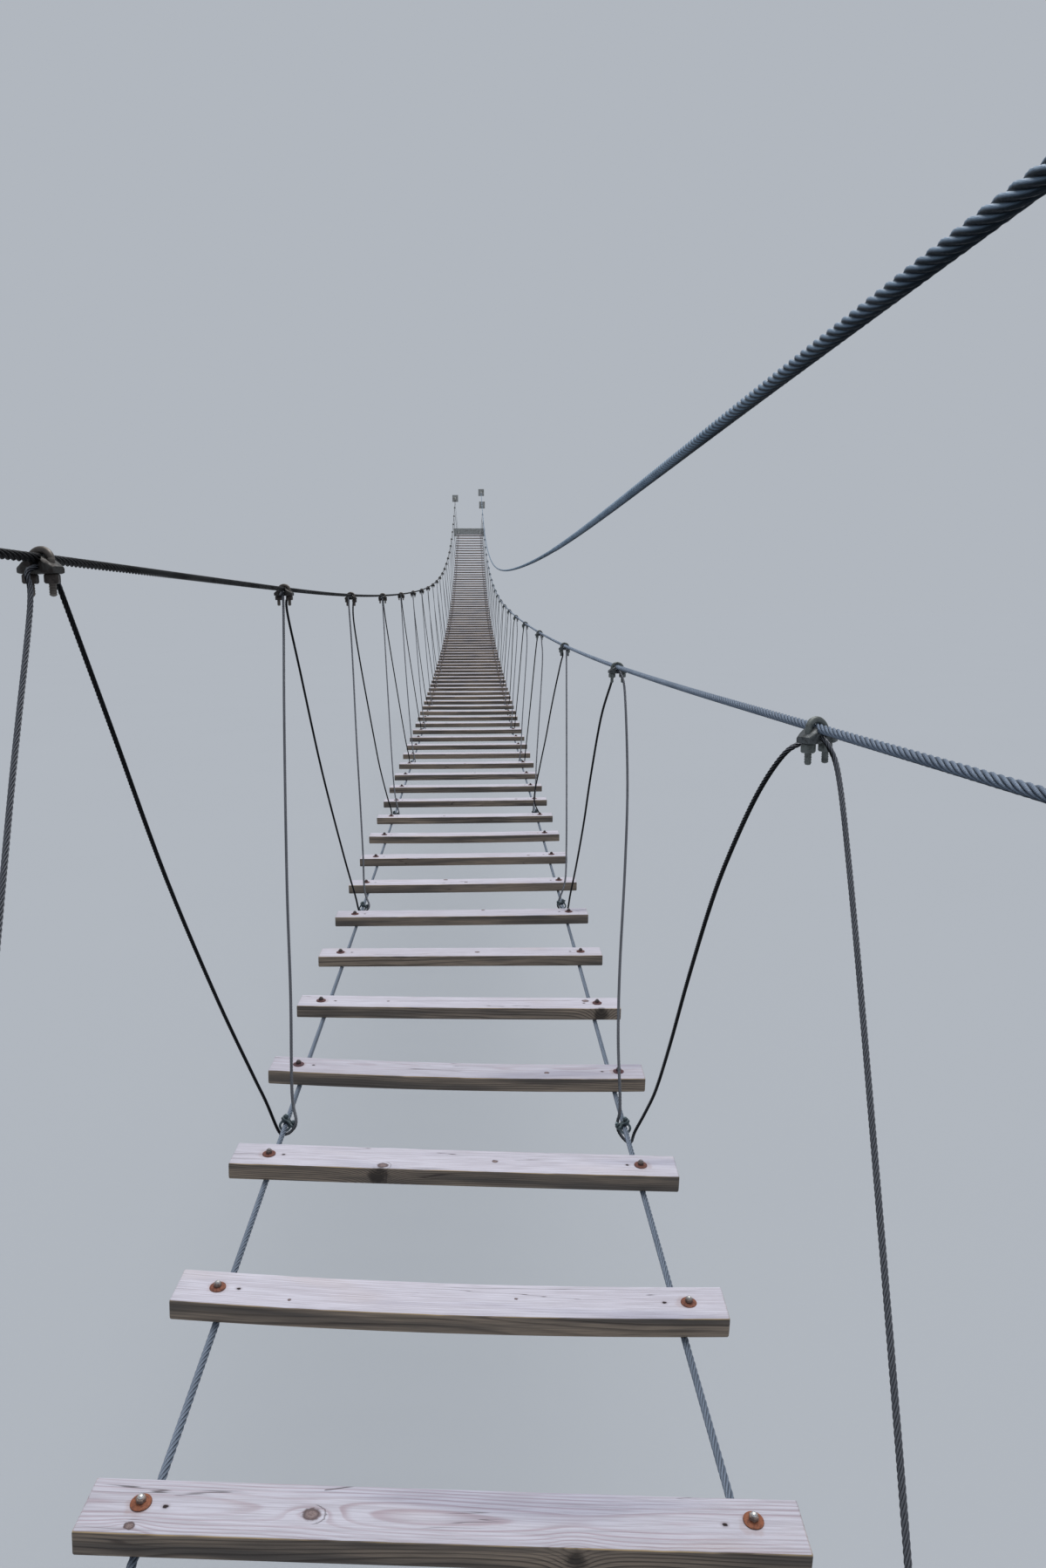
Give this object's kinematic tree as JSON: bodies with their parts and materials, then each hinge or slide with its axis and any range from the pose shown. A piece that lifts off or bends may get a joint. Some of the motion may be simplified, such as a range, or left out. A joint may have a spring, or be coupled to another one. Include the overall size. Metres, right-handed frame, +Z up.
{
  "type": "rope suspension footbridge, 1:2 scale model",
  "caption": "Narrow cable footbridge with wooden treads on two deck cables, zigzag rope hangers, two handrail cables and a raised safety cable.",
  "frame": {"origin": "centre of the back face of the near deck anchor plate", "axes": "+Y along the bridge from the near end to the far end, +X to its right side, +Z up"},
  "size_m": [0.6225, 25.102, 2.6437],
  "materials": {
    "tread_wood": "bleached sawn pine",
    "wire_rope": "weathered galvanised",
    "wire_rope_dark": "weathered galvanised, dark with dirt",
    "clip_steel": "galvanised forging, stained",
    "bolt_rust": "rusted",
    "anchor_steel": "dull galvanised plate"
  },
  "bodies": {
    "root": {"deck_section_01": "tread_wood", "deck_section_02": "tread_wood", "deck_section_03": "tread_wood", "deck_section_04": "tread_wood", "deck_section_05": "tread_wood", "deck_section_06": "tread_wood", "deck_section_07": "tread_wood", "deck_section_08": "tread_wood", "deck_section_09": "tread_wood", "handrail_cable_left_01": "wire_rope_dark", "handrail_cable_left_02": "wire_rope_dark", "handrail_cable_left_03": "wire_rope_dark", "handrail_cable_right_01": "wire_rope", "handrail_cable_right_02": "wire_rope", "handrail_cable_right_03": "wire_rope", "safety_cable_01": "wire_rope", "safety_cable_02": "wire_rope", "safety_cable_03": "wire_rope", "hanger_net_left_01": "wire_rope_dark", "hanger_net_right_01": "wire_rope", "hanger_net_left_02": "wire_rope_dark", "hanger_net_right_02": "wire_rope", "hanger_net_left_03": "wire_rope_dark", "hanger_net_right_03": "wire_rope", "hanger_net_left_04": "wire_rope_dark", "hanger_net_right_04": "wire_rope", "hanger_net_left_05": "wire_rope_dark", "hanger_net_right_05": "wire_rope", "hanger_net_left_06": "wire_rope_dark", "hanger_net_right_06": "wire_rope", "hanger_net_left_07": "wire_rope_dark", "hanger_net_right_07": "wire_rope", "hanger_net_left_08": "wire_rope_dark", "hanger_net_right_08": "wire_rope", "hanger_net_left_09": "wire_rope_dark", "hanger_net_right_09": "wire_rope", "deck_anchor_near": "anchor_steel", "handrail_anchor_left_near": "anchor_steel", "handrail_anchor_right_near": "anchor_steel", "safety_anchor_near": "anchor_steel", "deck_anchor_far": "anchor_steel", "handrail_anchor_left_far": "anchor_steel", "handrail_anchor_right_far": "anchor_steel", "safety_anchor_far": "anchor_steel"}
  },
  "joints": []
}
